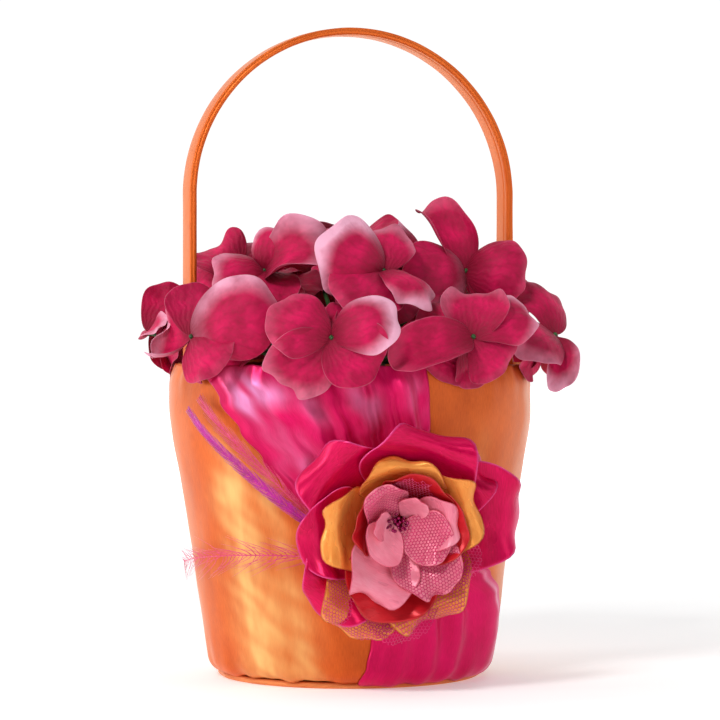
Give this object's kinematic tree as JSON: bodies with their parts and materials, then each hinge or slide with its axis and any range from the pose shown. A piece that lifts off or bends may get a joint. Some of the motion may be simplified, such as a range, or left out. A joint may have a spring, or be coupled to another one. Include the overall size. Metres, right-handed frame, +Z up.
{
  "type": "flower girl basket",
  "caption": "Round padded satin basket with an arched strap handle, draped sash, layered fabric rosette with feathers, and a lift-out head of artificial hydrangea florets.",
  "frame": {"origin": "centre of the base's underside", "axes": "+Z up the pail's axis, +X towards the handle's right leg, -Y towards the rosette"},
  "size_m": [0.1412, 0.1452, 0.2316],
  "materials": {
    "orange_satin": "bright orange polyester satin, woven warp sheen",
    "handle_satin": "orange satin rolled round the strap",
    "base_satin": "lighter orange satin edge",
    "lining_satin": "orange satin lining",
    "fuchsia_satin": "fuchsia polyester satin",
    "fuchsia_net": "fuchsia hexagonal tulle",
    "pink_satin": "pink satin with heat-curled edges",
    "dark_bead": "dark fuchsia glossy beads",
    "felt": "felt",
    "purple_feather": "dyed hackle",
    "pink_feather": "dyed wispy hackle",
    "floret_fabric": "printed polyester petals, dark fuchsia with pale tips",
    "green_plastic": "green moulded plastic",
    "white_strap": "stiff strap",
    "grey_board": "grey board",
    "wadding": "polyester wadding",
    "florist_foam": "dry florist's foam"
  },
  "bodies": {
    "basket": {"base_board": "grey_board", "base_cover": "base_satin", "feather_long": "purple_feather", "feather_pale": "pink_feather", "feather_wispy": "pink_feather", "foam_block": "florist_foam", "handle_core": "white_strap", "handle_cover": "handle_satin", "handle_tack_left": "handle_satin", "handle_tack_right": "handle_satin", "lining": "lining_satin", "lining_floor": "lining_satin", "net_petal_1": "fuchsia_net", "net_petal_2": "fuchsia_net", "net_petal_3": "fuchsia_net", "orange_petal_1": "orange_satin", "orange_petal_2": "orange_satin", "orange_petal_3": "orange_satin", "orange_petal_4": "orange_satin", "orange_petal_5": "orange_satin", "outer_cover": "orange_satin", "outer_petal_1": "fuchsia_satin", "outer_petal_2": "fuchsia_satin", "outer_petal_3": "fuchsia_satin", "outer_petal_4": "fuchsia_satin", "outer_petal_5": "fuchsia_satin", "outer_petal_6": "fuchsia_satin", "pail_floor": "grey_board", "pail_shell": "grey_board", "pink_petal_1": "pink_satin", "pink_petal_2": "pink_satin", "pink_petal_3": "pink_satin", "pink_petal_4": "pink_satin", "pink_petal_5": "pink_satin", "rim_edge": "base_satin", "rosette_backing": "felt", "rosette_beads": "dark_bead", "sash": "fuchsia_satin", "wall_padding": "wadding"},
    "flower_head": {"floret_01": "floret_fabric", "floret_02": "floret_fabric", "floret_03": "floret_fabric", "floret_04": "floret_fabric", "floret_05": "floret_fabric", "floret_06": "floret_fabric", "floret_07": "floret_fabric", "floret_08": "floret_fabric", "floret_09": "floret_fabric", "floret_10": "floret_fabric", "floret_11": "floret_fabric", "floret_12": "floret_fabric", "floret_13": "floret_fabric", "floret_14": "floret_fabric", "floret_15": "floret_fabric", "floret_beads": "green_plastic", "floret_stems": "green_plastic", "head_hub": "green_plastic", "head_stem": "green_plastic"}
  },
  "joints": [
    {"name": "flower_head_lift", "type": "slide", "parent": "basket", "child": "flower_head", "axis": [0, 0, 1], "range_m": [0, 0.06]}
  ]
}
